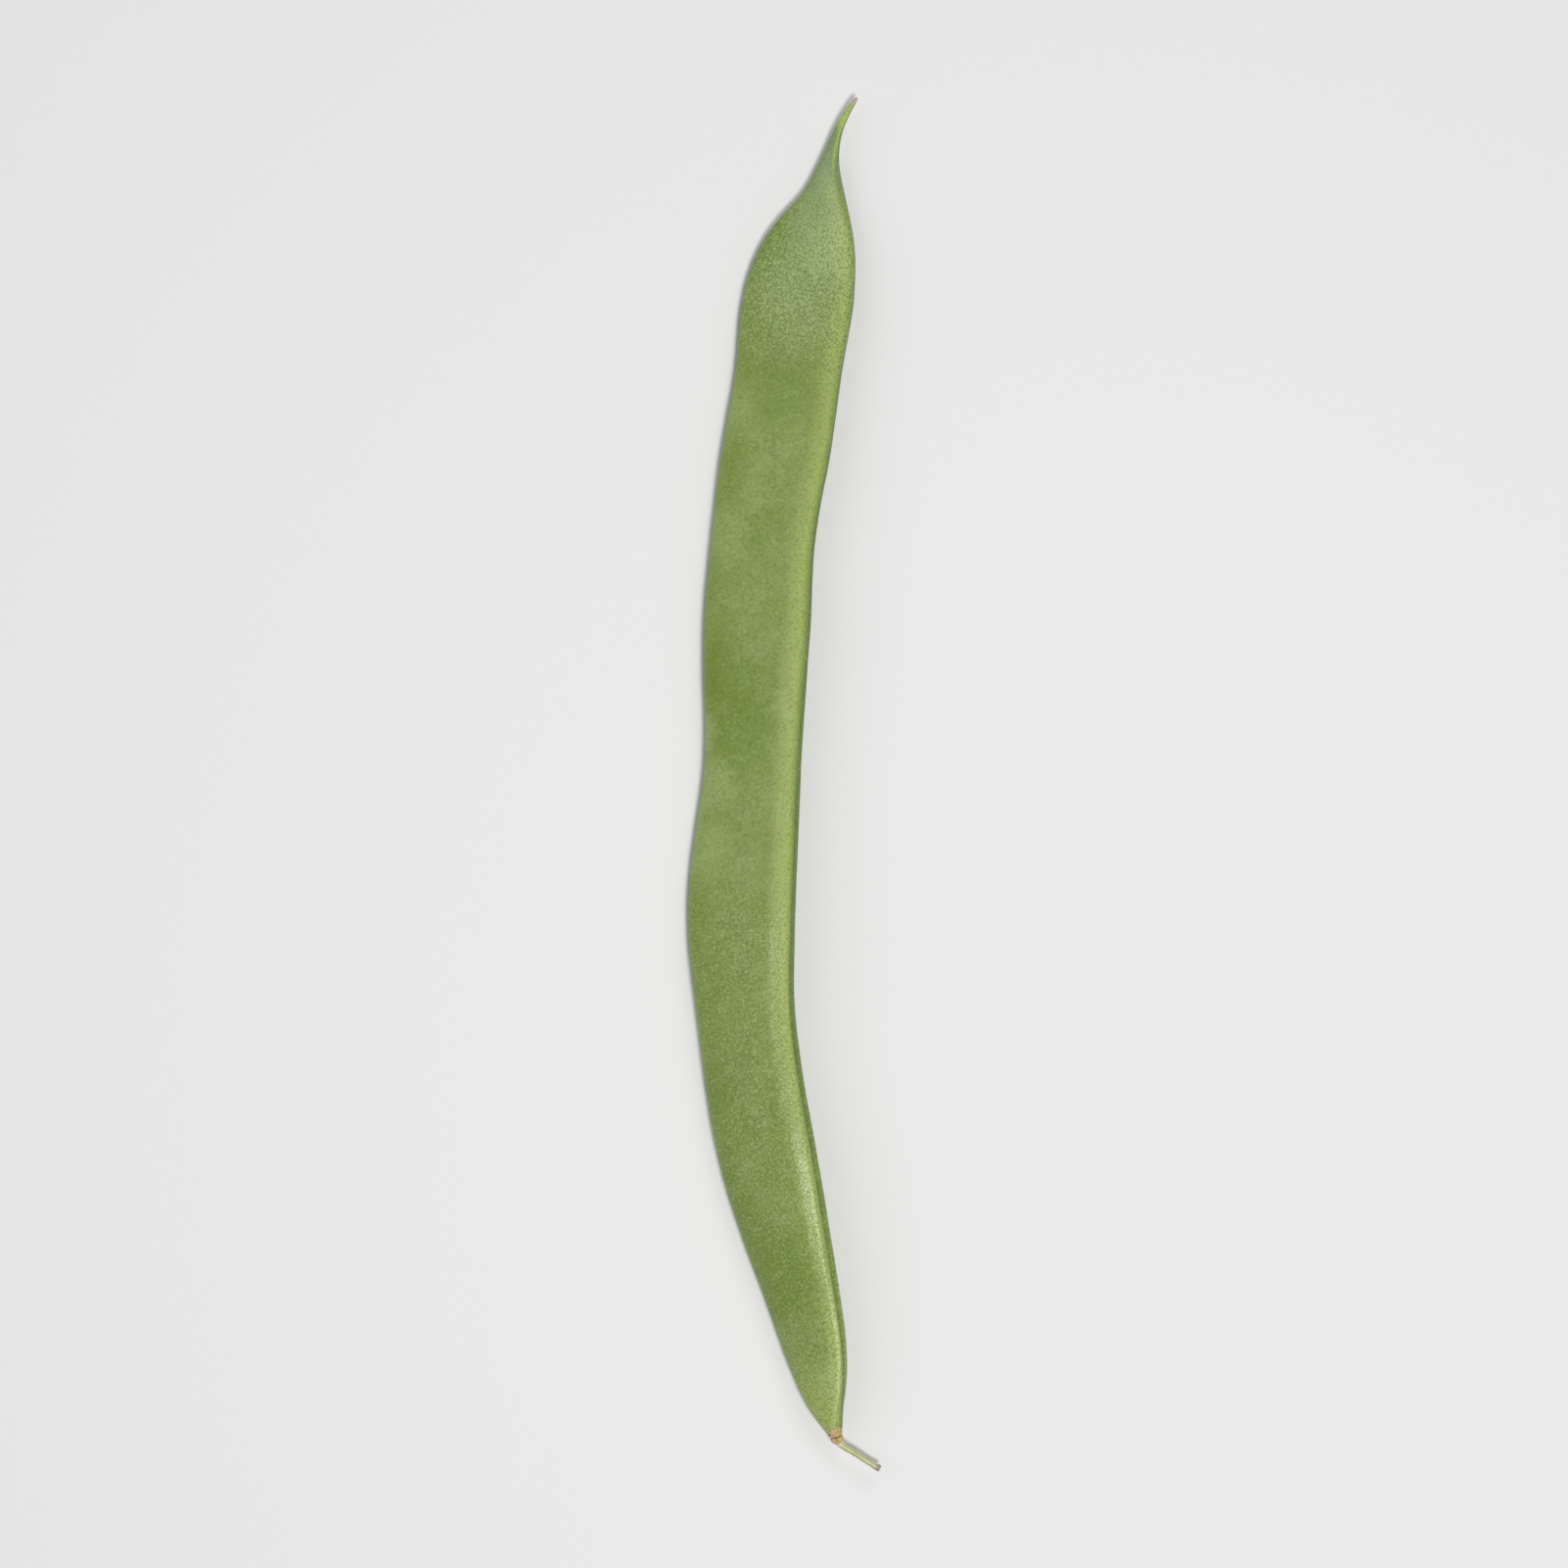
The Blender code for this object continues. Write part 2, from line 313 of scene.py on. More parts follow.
def seed_rise(y, across):
    """How far the row of seeds raises a broad face at a point of it."""
    total = np.zeros_like(across)
    for number in range(SEED_COUNT):
        along = (y - SEED_Y - number * SEED_PITCH) / SEED_LENGTH
        total += np.exp(-(along**2) - ((across - SEED_OFFSET) / SEED_REACH) ** 2)
    return SEED_RISE * total


def rolled(y, across, rise):
    """A point of the section after its roll: how far to +X of the middle line, and how far above it."""
    angle = np.radians(roll(y))
    side = across * np.cos(angle) - rise * np.sin(angle)
    up = across * np.sin(angle) + rise * np.cos(angle)
    return side, up


def middle_height(y):
    """Height of the middle line, which puts the lowest point of each rolled section where LIFT says."""
    turns = np.linspace(0.0, 2.0 * math.pi, SECTION_TURNS, endpoint=False)
    across, rise = section(y[:, None], turns[None, :], 0.0)
    _, up = rolled(y[:, None], across, rise)
    return lift(y) - REST_FLAT - up.min(axis=1)


def pod_skin(station, around):
    """Points of the skin, and the place of each in the straight pod: across, along and up."""
    y = 0.5 * (NECK_Y + TIP_Y) + 0.5 * (TIP_Y - NECK_Y) * station
    along_seam = np.stack((y, 0.0 * y, 0.0 * y), axis=1)
    groove_at = SEAM_WANDER * uneven(along_seam, SEAM_WANDER_SIZE, 3.0)
    across, rise = section(y, around, groove_at)
    grown = np.stack((across, y, rise), axis=1)

    relief = ramp(half_thickness(y), *RELIEF_FROM)
    lumps = sum(height * uneven(grown, size, size) for height, size in (LUMPS, RIPPLES))
    across = across + relief * lumps * np.cos(around)
    rise = rise + relief * lumps * np.sin(around) + np.sign(rise) * seed_rise(y, across)

    side, up = rolled(y, across, rise)
    closing = blunt_end(y - NECK_Y, NECK_ROUNDING) * blunt_end(TIP_Y - y, TIP_ROUNDING)
    slope = (middle_line(y + SLOPE_STEP) - middle_line(y - SLOPE_STEP)) / (2.0 * SLOPE_STEP)
    sideways = closing * side / np.sqrt(1.0 + slope**2)
    skin_x = middle_line(y) + sideways
    skin_y = y - sideways * slope
    skin_z = middle_height(y) + closing * up
    return np.stack((skin_x, skin_y, np.maximum(skin_z, 0.0)), axis=1), grown


def drawn_out(name, sides, rings, shape):
    """A sphere with poles along Y, whose points shape() places. Returns it, and what shape() says of them."""
    bm = bmesh.new()
    bmesh.ops.create_uvsphere(
        bm, u_segments=sides, v_segments=rings, radius=1.0, matrix=POLES_ALONG_Y
    )
    ball = np.array([v.co for v in bm.verts])
    around = np.arctan2(ball[:, 2], ball[:, 0])
    points, grown = shape(np.clip(ball[:, 1], -1.0, 1.0), around)
    for vert, point in zip(bm.verts, points):
        vert.co = Vector(point)
    bmesh.ops.recalc_face_normals(bm, faces=bm.faces)
    mesh = bpy.data.meshes.new(name)
    bm.to_mesh(mesh)
    bm.free()
    mesh.shade_smooth()
    made = bpy.data.objects.new(name, mesh)
    bpy.context.scene.collection.objects.link(made)
    return made, grown


def keep_vector(piece, name, values):
    """Keeps a vector for each vertex of the piece, for its material to read."""
    kept = piece.data.attributes.new(name, "FLOAT_VECTOR", "POINT")
    kept.data.foreach_set("vector", np.asarray(values, np.float32).ravel())


def crowded_pod(station, around):
    """The pod's skin, with its sides crowded towards the two seams."""
    return pod_skin(station, around - CROWDING * np.sin(2.0 * around))


pod, pod_grown = drawn_out("bean_pod", POD_SIDES, POD_RINGS, crowded_pod)

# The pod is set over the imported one: middle on middle, and the underside on the surface.
packed_low, packed_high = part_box("pod")
points = np.array([v.co for v in pod.data.vertices])
shift = Vector(packed_low + packed_high) / (2.0 * MM)
shift -= Vector((points.min(axis=0) + points.max(axis=0)) / 2.0)
shift.z = 0.0
pod.data.transform(Matrix.Scale(MM, 4) @ Matrix.Translation(shift))

# Distances over the skin from the belly seam and from the back seam.
seam_reach = unrolled(
    half_width(pod_grown[:, 1]),
    half_thickness(pod_grown[:, 1]),
    np.radians(roll(pod_grown[:, 1])),
    SECTION_POWER,
)
to_belly = np.hypot(seam_reach - pod_grown[:, 0], pod_grown[:, 2])
to_back = np.hypot(seam_reach + pod_grown[:, 0], pod_grown[:, 2])
narrow = np.clip(BAND_REACH / seam_reach, 1.0, BAND_SQUEEZE)
keep_vector(pod, "grown", pod_grown)
keep_vector(pod, "reach", np.stack((to_belly * narrow, to_back * narrow, to_belly), axis=1))

# How far up the section and how far towards the belly each place is, as shares from -1 to 1.
upward_share = pod_grown[:, 2] / half_thickness(pod_grown[:, 1])
bellyward_share = pod_grown[:, 0] / seam_reach
keep_vector(pod, "facing", np.stack((upward_share, bellyward_share, 0.0 * seam_reach), axis=1))


def paint(hex_code):
    """A linear colour from an sRGB hex code."""
    channels = [int(hex_code[i : i + 2], 16) / 255.0 for i in (1, 3, 5)]
    linear = [c / 12.92 if c <= 0.04045 else ((c + 0.055) / 1.055) ** 2.4 for c in channels]
    return (*linear, 1.0)


def add(tree, kind, settings, inputs):
    """A new node with its settings, and with its inputs set to values or linked from other nodes' outputs."""
    made = tree.nodes.new("ShaderNode" + kind)
    for name, value in settings.items():
        setattr(made, name, value)
    for name, value in inputs.items():
        if isinstance(value, bpy.types.NodeSocket):
            tree.links.new(value, made.inputs[name])
        else:
            made.inputs[name].default_value = value
    return made


FACTOR, FIRST, SECOND, MIXED = 0, 6, 7, 2  # a colour mix's sockets, which share their names with other types


def coated(tree, ground, coats):
    """Coats over a ground colour: (colour, its pattern, the value where bare, the one where full, share)."""
    colour = paint(ground)
    for hex_code, pattern, bare, full, most in coats:
        limits = {"Value": pattern, "From Min": bare, "From Max": full, "To Min": 0.0, "To Max": most}
        amount = add(tree, "MapRange", {"interpolation_type": "SMOOTHSTEP"}, limits)
        both = {FACTOR: amount.outputs[0], FIRST: colour, SECOND: paint(hex_code)}
        colour = add(tree, "Mix", {"data_type": "RGBA"}, both).outputs[MIXED]
    return colour


def embossed(tree, reliefs):
    """The normal of a skin with patterns raised on it, one after the other: (pattern, height in mm)."""
    under = {}
    for pattern, height in reliefs:
        bump = {"Height": pattern, "Strength": 1.0, "Distance": height * MM}
        under = {"Normal": add(tree, "Bump", {}, bump | under).outputs[0]}
    return under["Normal"]


def bean_skin():
    """Living bean skin: a thin waxy cuticle over chlorophyll-green flesh, grown and not polished. It gives
    the eye a satin, slightly dusty green, yellower along both seams, with a fine grain and a soft broken
    gloss."""
    made = bpy.data.materials.new("bean skin, waxy cuticle over green flesh")
    made.use_nodes = True
    tree = made.node_tree
    shader = tree.nodes["Principled BSDF"]
    grown = add(tree, "Attribute", {"attribute_name": "grown"}, {}).outputs["Vector"]
    reach = add(tree, "Attribute", {"attribute_name": "reach"}, {}).outputs["Vector"]
    across, along, _ = add(tree, "SeparateXYZ", {}, {"Vector": grown}).outputs
    to_belly, to_back, to_groove = add(tree, "SeparateXYZ", {}, {"Vector": reach}).outputs
    turned = add(tree, "Attribute", {"attribute_name": "facing"}, {}).outputs["Vector"]
    upward, bellyward, _ = add(tree, "SeparateXYZ", {}, {"Vector": turned}).outputs

    # Patches of 14 mm and 4.5 mm where the flesh is deeper green or the bloom is thicker.
    patches = add(tree, "TexNoise", {}, {"Vector": grown, "Scale": 1 / 14, "Detail": 2.0, "Roughness": 0.5})
    clouds = add(tree, "TexNoise", {}, {"Vector": grown, "Scale": 1 / 4.5, "Detail": 3.0, "Roughness": 0.6})
    # Cells and hair bases are under 0.1 mm, too fine to show, so this grain is drawn at 0.5 mm.
    grain = add(tree, "TexNoise", {}, {"Vector": grown, "Scale": 1 / 0.5, "Detail": 2.0, "Roughness": 0.7})
    # Faint fibres run slantwise across the walls, about 1.2 mm apart and several times as long.
    slanted = add(
        tree,
        "Mapping",
        {"vector_type": "TEXTURE"},
        {"Vector": grown, "Rotation": (0.0, 0.0, math.radians(18.0)), "Scale": (6.0, 1.2, 3.0)},
    )
    fibres = add(tree, "TexNoise", {}, {"Vector": slanted.outputs[0], "Scale": 1.0, "Detail": 2.0})
    # Hair bases: pale specks about 1.1 mm apart, drawn at twice their real size.
    specks = add(tree, "TexVoronoi", {}, {"Vector": grown, "Scale": 1 / 1.1, "Randomness": 1.0})

    patch, cloud, grit, fibre, speck = (
        node.outputs[name]
        for node, name in ((patches, 0), (clouds, 0), (grain, 0), (fibres, 0), (specks, "Distance"))
    )
    # The edges of the bands along the seams, and of the dry tip, stray.
    belly_edge = {0: cloud, 1: BAND_STRAY, 2: to_belly}
    belly_edge = add(tree, "Math", {"operation": "MULTIPLY_ADD"}, belly_edge).outputs[0]
    back_edge = {0: cloud, 1: BAND_STRAY, 2: to_back}
    back_edge = add(tree, "Math", {"operation": "MULTIPLY_ADD"}, back_edge).outputs[0]
    tip_edge = {0: grit, 1: BAND_STRAY, 2: along}
    tip_edge = add(tree, "Math", {"operation": "MULTIPLY_ADD"}, tip_edge).outputs[0]
    from_middle = add(tree, "Math", {"operation": "ABSOLUTE"}, {0: across}).outputs[0]
    # Painted shade: the lower wall is darker green, which stands in for the shade on it, less so by the
    # stalk.
    by_stalk = {"Value": along, "From Min": -92.0, "From Max": -50.0, "To Min": 0.45, "To Max": 0.0}
    by_stalk = add(tree, "MapRange", {}, by_stalk).outputs[0]
    painted_shade_below = add(tree, "Math", {"operation": "ADD"}, {0: upward, 1: by_stalk}).outputs[0]
    # A cream band lies inside the belly edge, and gives out towards the stalk. It is partly the seam's paler
    # skin and partly a painted highlight along the belly shoulder.
    cream_and_highlight = {"Value": along, "From Min": -65.0, "From Max": -15.0, "To Min": 2.0, "To Max": 0.0}
    cream_and_highlight = add(tree, "MapRange", {}, cream_and_highlight).outputs[0]
    cream_and_highlight = add(tree, "Math", {"operation": "ADD"}, {0: to_groove, 1: cream_and_highlight}).outputs[0]
    # Outside it a darker line runs up to the beak, partly the seam's deeper green and partly painted shade
    # along the belly edge.
    dark_line_and_shade = {"Value": along, "From Min": -60.0, "From Max": 0.0, "To Min": 1.2, "To Max": 0.0}
    dark_line_and_shade = add(tree, "MapRange", {}, dark_line_and_shade).outputs[0]
    dark_line_and_shade = add(tree, "Math", {"operation": "ADD"}, {0: to_groove, 1: dark_line_and_shade}).outputs[0]
    # Painted highlight: by the stalk the crest of the upper cord is a thin pale line, broken by the grain,
    # that stands in for the lamp's glint on it.
    crest_glint = add(tree, "Math", {"operation": "SUBTRACT"}, {0: to_groove, 1: 1.25}).outputs[0]
    crest_glint = add(tree, "Math", {"operation": "ABSOLUTE"}, {0: crest_glint}).outputs[0]
    crest_glint = add(tree, "Math", {"operation": "MULTIPLY_ADD"}, {0: grit, 1: 1.2, 2: crest_glint}).outputs[0]
    off_stalk = add(tree, "Math", {"operation": "SUBTRACT"}, {0: along, 1: -92.0}).outputs[0]
    off_stalk = add(tree, "Math", {"operation": "ABSOLUTE"}, {0: off_stalk}).outputs[0]
    off_stalk = {"Value": off_stalk, "From Min": 8.0, "From Max": 20.0, "To Min": 0.0, "To Max": 0.5}
    off_stalk = add(tree, "MapRange", {}, off_stalk).outputs[0]
    crest_glint = add(tree, "Math", {"operation": "ADD"}, {0: crest_glint, 1: off_stalk}).outputs[0]
    # One yellow-green stripe runs up the beak, on the belly side of its middle.
    stripe = add(tree, "Math", {"operation": "SUBTRACT"}, {0: bellyward, 1: 0.40}).outputs[0]
    stripe = add(tree, "Math", {"operation": "ABSOLUTE"}, {0: stripe}).outputs[0]
    below_beak = {"Value": along, "From Min": 96.0, "From Max": 103.0, "To Min": 0.5, "To Max": 0.0}
    below_beak = add(tree, "MapRange", {}, below_beak).outputs[0]
    stripe = add(tree, "Math", {"operation": "ADD"}, {0: stripe, 1: below_beak}).outputs[0]
    # The clouds break up the edges of the patches, by half of the stray where the clouds have their mean.
    patch_and_painted_light_coats = []
    for hex_code, places in (("#6C842A", DEEP_GREEN_AND_SHADE_PATCHES), ("#A9BD7E", PALE_AND_SHEEN_PATCHES)):
        for middle, patch_reach, share in places:
            away = add(tree, "VectorMath", {"operation": "DISTANCE"}, {0: grown, 1: middle}).outputs["Value"]
            away = {0: cloud, 1: PATCH_STRAY, 2: away}
            away = add(tree, "Math", {"operation": "MULTIPLY_ADD"}, away).outputs[0]
            bare = patch_reach + 0.5 * PATCH_STRAY
            full = PATCH_CORE * patch_reach + 0.5 * PATCH_STRAY
            patch_and_painted_light_coats.append((hex_code, away, bare, full, share))
    # The grain is finer towards both ends, where it is drawn at 0.36 mm. It shows most below the beak, which
    # is smooth itself.
    fine = add(tree, "TexNoise", {}, {"Vector": grown, "Scale": 1 / 0.36, "Detail": 1.0}).outputs[0]
    ends = add(tree, "Math", {"operation": "SUBTRACT"}, {0: along, 1: 25.0}).outputs[0]
    ends = add(tree, "Math", {"operation": "ABSOLUTE"}, {0: ends}).outputs[0]
    ends = add(tree, "MapRange", {}, {"Value": ends, "From Min": 30.0, "From Max": 47.0}).outputs[0]
    grown_grain = add(tree, "Mix", {"data_type": "FLOAT"}, {0: ends, 2: grit, 3: fine}).outputs[0]
    contrast = add(tree, "MapRange", {}, {"Value": ends, "To Min": 0.66, "To Max": 0.84}).outputs[0]
    shoulder = {"Value": along, "From Min": 62.0, "From Max": 78.0, "To Min": 1.0, "To Max": 1.36}
    shoulder = add(tree, "MapRange", {}, shoulder).outputs[0]
    contrast = add(tree, "Math", {"operation": "MULTIPLY"}, {0: contrast, 1: shoulder}).outputs[0]
    smoother = {"Value": along, "From Min": 86.0, "From Max": 99.0, "To Min": 1.0, "To Max": 0.35}
    smoother = add(tree, "MapRange", {}, smoother).outputs[0]
    contrast = add(tree, "Math", {"operation": "MULTIPLY"}, {0: contrast, 1: smoother}).outputs[0]
    off_mean = add(tree, "Math", {"operation": "SUBTRACT"}, {0: grown_grain, 1: 0.5}).outputs[0]
    shown = add(tree, "Math", {"operation": "MULTIPLY_ADD"}, {0: off_mean, 1: contrast, 2: 0.5}).outputs[0]

    colour = coated(
        tree,
        "#7D9143",
        (
            ("#6B7D30", patch, 0.46, 0.74, 0.40),  # deeper green flesh
            ("#8D9E5D", cloud, 0.42, 0.72, 0.50),  # bloom in clouds
            ("#8DA16C", from_middle, 6.5, 1.5, 0.24),  # more of it, which is rubbed off the edges
            ("#9BAF80", along, 66.0, 92.0, 0.46),  # thicker bloom below the beak, partly a painted sheen where the shoulder turns towards the lamps
            ("#7E946B", along, 90.0, 103.0, 0.80),  # the beak's greyer green
            ("#A3B162", along, -90.0, -104.0, 0.75),  # the neck's yellower green
            ("#889F4C", back_edge, 5.2, 2.2, 0.75),  # the yellower bands along both seams
            ("#93AA50", belly_edge, 6.0, 2.8, 0.65),
            ("#95B045", belly_edge, 4.0, 2.4, 0.35),
            *patch_and_painted_light_coats,
            # partly a painted highlight along the belly shoulder
            ("#C2CC86", cream_and_highlight, 5.20, 2.40, 0.30),
            # painted shade on the lower wall
            ("#5E7A2C", painted_shade_below, 0.55, -0.25, 0.65),  # the lower wall
            # partly painted shade along the belly edge
            ("#4F6A28", dark_line_and_shade, 2.30, 1.30, 0.36),
            ("#768C68", along, 96.0, 103.0, 0.65),  # the beak again, over the bands
            ("#9FB95C", stripe, 0.40, 0.10, 0.80),
            ("#AAC064", along, 106.0, 108.5, 0.80),  # the tip's fresh green
            ("#6B8030", to_groove, 0.60, 0.20, 0.60),  # the bottom of the belly seam's groove
            # painted highlight on the crest by the stalk
            ("#E3E8A8", crest_glint, 0.96, 0.62, 0.50),
            ("#B7A79F", tip_edge, 111.5, 112.6, 1.0),  # the style's dry stump
            ("#4C6322", shown, 0.54, 0.34, 0.46),  # the grain's dark side, and its pale one
            ("#B9CA93", shown, 0.53, 0.72, 0.36),
            ("#BBCA98", speck, 0.18, 0.06, 0.22),  # hair bases
            ("#A9BB7E", fibre, 0.56, 0.74, 0.16),
        ),
    )
    tree.links.new(colour, shader.inputs["Base Color"])

    satin = {"Value": grit, "From Min": 0.3, "From Max": 0.7, "To Min": 0.46, "To Max": 0.62}
    satin = add(tree, "MapRange", {}, satin).outputs[0]
    tree.links.new(satin, shader.inputs["Roughness"])

    # The bloom dulls the cuticle, less so by the stalk, where handling has rubbed it off.
    gloss = {"Value": along, "From Min": -35.0, "From Max": -88.0, "To Min": 0.11, "To Max": 0.30}
    gloss = add(tree, "MapRange", {}, gloss).outputs[0]
    tree.links.new(gloss, shader.inputs["Coat Weight"])

    pimples = {"Value": speck, "From Min": 0.22, "From Max": 0.04}
    pimples = add(tree, "MapRange", {"interpolation_type": "SMOOTHSTEP"}, pimples).outputs[0]
    relief = embossed(tree, ((fibre, 0.025), (pimples, 0.012), (grit, 0.06)))
    tree.links.new(relief, shader.inputs["Normal"])
    # The cuticle's own fine grain breaks up its gloss.
    cuticle = add(tree, "TexNoise", {}, {"Vector": grown, "Scale": 1 / 0.35, "Detail": 1.0}).outputs[0]
    tree.links.new(embossed(tree, ((fibre, 0.025), (cuticle, 0.045))), shader.inputs["Coat Normal"])

    shader.inputs["IOR"].default_value = 1.45
    shader.inputs["Specular IOR Level"].default_value = 0.35
    shader.inputs["Coat Roughness"].default_value = 0.17
    shader.inputs["Coat IOR"].default_value = 1.45
    shader.inputs["Subsurface Weight"].default_value = 0.10
    shader.inputs["Subsurface Radius"].default_value = (0.5, 1.0, 0.25)
    shader.inputs["Subsurface Scale"].default_value = 0.8 * MM
    shader.inputs["Sheen Weight"].default_value = 0.08
    shader.inputs["Sheen Roughness"].default_value = 0.45
    shader.inputs["Sheen Tint"].default_value = paint("#C9D6C6")
    return made


pod.data.materials.append(bean_skin())
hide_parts("pod")
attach(pod, "root")

# ----------------------------------------------------------------------------------------------------------
# The calyx. The small cup of sepals that held the flower, dried to brown paper round the pod's neck: a
# puckered foot where it grew on the stalk, a crease, and a thin torn rim whose points lie on the green skin.
# ----------------------------------------------------------------------------------------------------------
# (share of the way from the foot to the dish, radius, height above the neck's end), up to the crease.
CUP_FOOT = (
    (0.00, 0.00, -1.72),
    (0.05, 0.40, -1.69),
    (0.11, 0.76, -1.52),
    (0.18, 1.02, -1.20),
    (0.25, 1.10, -0.88),
    (0.32, 1.06, -0.60),
    (0.38, 0.92, -0.42),
    (0.42, 0.96, -0.32),
)
CREASE_AT = 0.38
CREASE_WIDTH = 0.035
RIM_AT = 0.74
DISH_HEIGHT = -0.13
# (height above the neck's end, radius of the neck there), which the sepals lie on.
NECK_FIT = (
    (-0.4, 0.82),
    (-0.1, 1.00),
    (0.1, 1.10),
    (0.3, 1.22),
    (0.5, 1.37),
    (0.8, 1.50),
    (1.1, 1.61),
    (1.4, 1.73),
    (1.8, 1.88),
)
SEPAL_THICKNESS = 0.11
SEPAL_CLEARANCE = 0.03
CUP_FLATNESS = (0.84, 0.74)  # the cup's height over its width, at its foot and at its rim
CUP_SIDES = 110
CUP_RINGS = 120
RIM_HEIGHT = 0.10  # of the torn rim between the sepals
SEPAL_SHOULDER = 0.45  # share of a sepal's half angle over which its edge rises
THIN_FROM = 0.7  # share of the way up the outside from which the sepals thin, to half at the rim
INSIDE_FALL = (-0.3, 0.75)  # shares of the way down the inside between which it falls from rim to dish
DISH_EDGE = -0.1  # height of the neck's fit that the dish goes by
DISH_ROUNDING = 0.55
FOLDS_GROW = 0.10  # share of the outline over which the folds grow in from the foot
FOLDS_FADE = (0.02, -0.06)  # shares of it from the rim: where they have faded, and where that starts
CUP_RADIUS = 1.3  # about, to lay the crumples round it
SEPALS = (  # (degrees round from the belly side, height of its edge, half angle of it)
    (46.0, 1.15, 66.0),
    (172.0, 0.60, 24.0),
    (228.0, 0.90, 32.0),
    (295.0, 0.75, 30.0),
)
PUCKER = (0.035, 15)  # depth and number of the dried cup's pleats
CRUMPLE = (0.09, 0.55)  # height and size of its crumples
RAGGED = (0.16, 0.22)  # reach and size of the tears along its rim
BLUSH = (96.0, 48.0)  # degrees round where the sepals dried pinkish, and how far round that goes


def neck_end():
    """The end of the neck and the three directions there: towards the belly side, up, and into the pod."""
    y = np.array([NECK_Y, NECK_Y + 2.0])
    start, inside = (Vector(p) for p in np.stack((middle_line(y), y, middle_height(y)), axis=1))
    into_pod = (inside - start).normalized()
    side = into_pod.cross(Vector((0.0, 0.0, 1.0))).normalized()
    turned = Matrix.Rotation(-math.radians(ROLL[0][1]), 3, into_pod)
    return start, turned @ side, turned @ side.cross(into_pod), into_pod


neck_start, neck_side, neck_up, neck_in = neck_end()


def dried_cup(station, around):
    """Points of the cup, and for each: how pink it is and how high on a fold."""
    share = 0.5 + 0.5 * station
    ring = np.stack((np.cos(around), np.sin(around), 0.0 * around), axis=1)
    degrees = np.degrees(around) % 360.0

    rim = np.full_like(share, RIM_HEIGHT)
    for at, top, half in SEPALS:
        off = np.abs((degrees - at + 180.0) % 360.0 - 180.0)
        rim = np.maximum(rim, RIM_HEIGHT + (top - RIM_HEIGHT) * ramp(1.0 - off / half, 0.0, SEPAL_SHOULDER))
    rim = rim + RAGGED[0] * uneven(ring, RAGGED[1], 5.0)

    foot_radius = smooth_curve([(at, r) for at, r, _ in CUP_FOOT])(share)
    foot_height = smooth_curve([(at, h) for at, _, h in CUP_FOOT])(share)
    neck_radius = smooth_curve(NECK_FIT)
    join_at, join_height = CUP_FOOT[-1][0], CUP_FOOT[-1][2]
    up_outside = np.clip((share - join_at) / (RIM_AT - join_at), 0.0, 1.0)
    outside_height = join_height + (rim - join_height) * up_outside
    thickness = SEPAL_THICKNESS * (1.0 - 0.5 * ramp(up_outside, THIN_FROM, 1.0))
    outside_radius = neck_radius(outside_height) + SEPAL_CLEARANCE + thickness
    down_inside = np.clip((share - RIM_AT) / (1.0 - RIM_AT), 0.0, 1.0)
    inside_height = rim + (DISH_HEIGHT - rim) * ramp(down_inside, *INSIDE_FALL)
    inside_radius = neck_radius(np.maximum(inside_height, DISH_EDGE)) + SEPAL_CLEARANCE
    inside_radius = inside_radius * blunt_end(1.0 - down_inside, DISH_ROUNDING)

    radius = np.where(share < join_at, foot_radius, np.where(share < RIM_AT, outside_radius, inside_radius))
    height = np.where(share < join_at, foot_height, np.where(share < RIM_AT, outside_height, inside_height))

    faded_at, fading_from = FOLDS_FADE
    outer = ramp(share, RIM_AT + faded_at, RIM_AT + fading_from) * ramp(share, 0.0, FOLDS_GROW)
    lay = np.stack((CUP_RADIUS * ring[:, 0], CUP_RADIUS * ring[:, 1], height), axis=1)
    folds = PUCKER[0] * np.sin(PUCKER[1] * around + 2.0 * uneven(ring, 0.6, 7.0))
    folds = folds + CRUMPLE[0] * uneven(lay, CRUMPLE[1], 11.0)
    crease = np.exp(-(((share - CREASE_AT) / CREASE_WIDTH) ** 2))
    radius = radius + outer * np.maximum(folds, -0.5 * SEPAL_THICKNESS)

    tall = CUP_FLATNESS[0] + (CUP_FLATNESS[1] - CUP_FLATNESS[0]) * ramp(height, -0.8, 1.2)
    points = np.array(neck_start) + np.outer(radius * ring[:, 0], neck_side)
    points = points + np.outer(radius * tall * ring[:, 1], neck_up) + np.outer(height, neck_in)
    off = np.abs((degrees - BLUSH[0] + 180.0) % 360.0 - 180.0)
    pink = ramp(share, CREASE_AT - 0.03, CREASE_AT + 0.03) * ramp(off, BLUSH[1], 0.3 * BLUSH[1])
    pink = pink + 0.5 * uneven(lay, 0.5, 3.0)
    raised = folds / CRUMPLE[0] - 2.0 * crease
    return points, np.stack((pink, raised, 0.0 * share), axis=1)


calyx, calyx_grown = drawn_out("dried_calyx", CUP_SIDES, CUP_RINGS, dried_cup)
calyx.data.transform(Matrix.Scale(MM, 4) @ Matrix.Translation(shift))
keep_vector(calyx, "dried", calyx_grown)


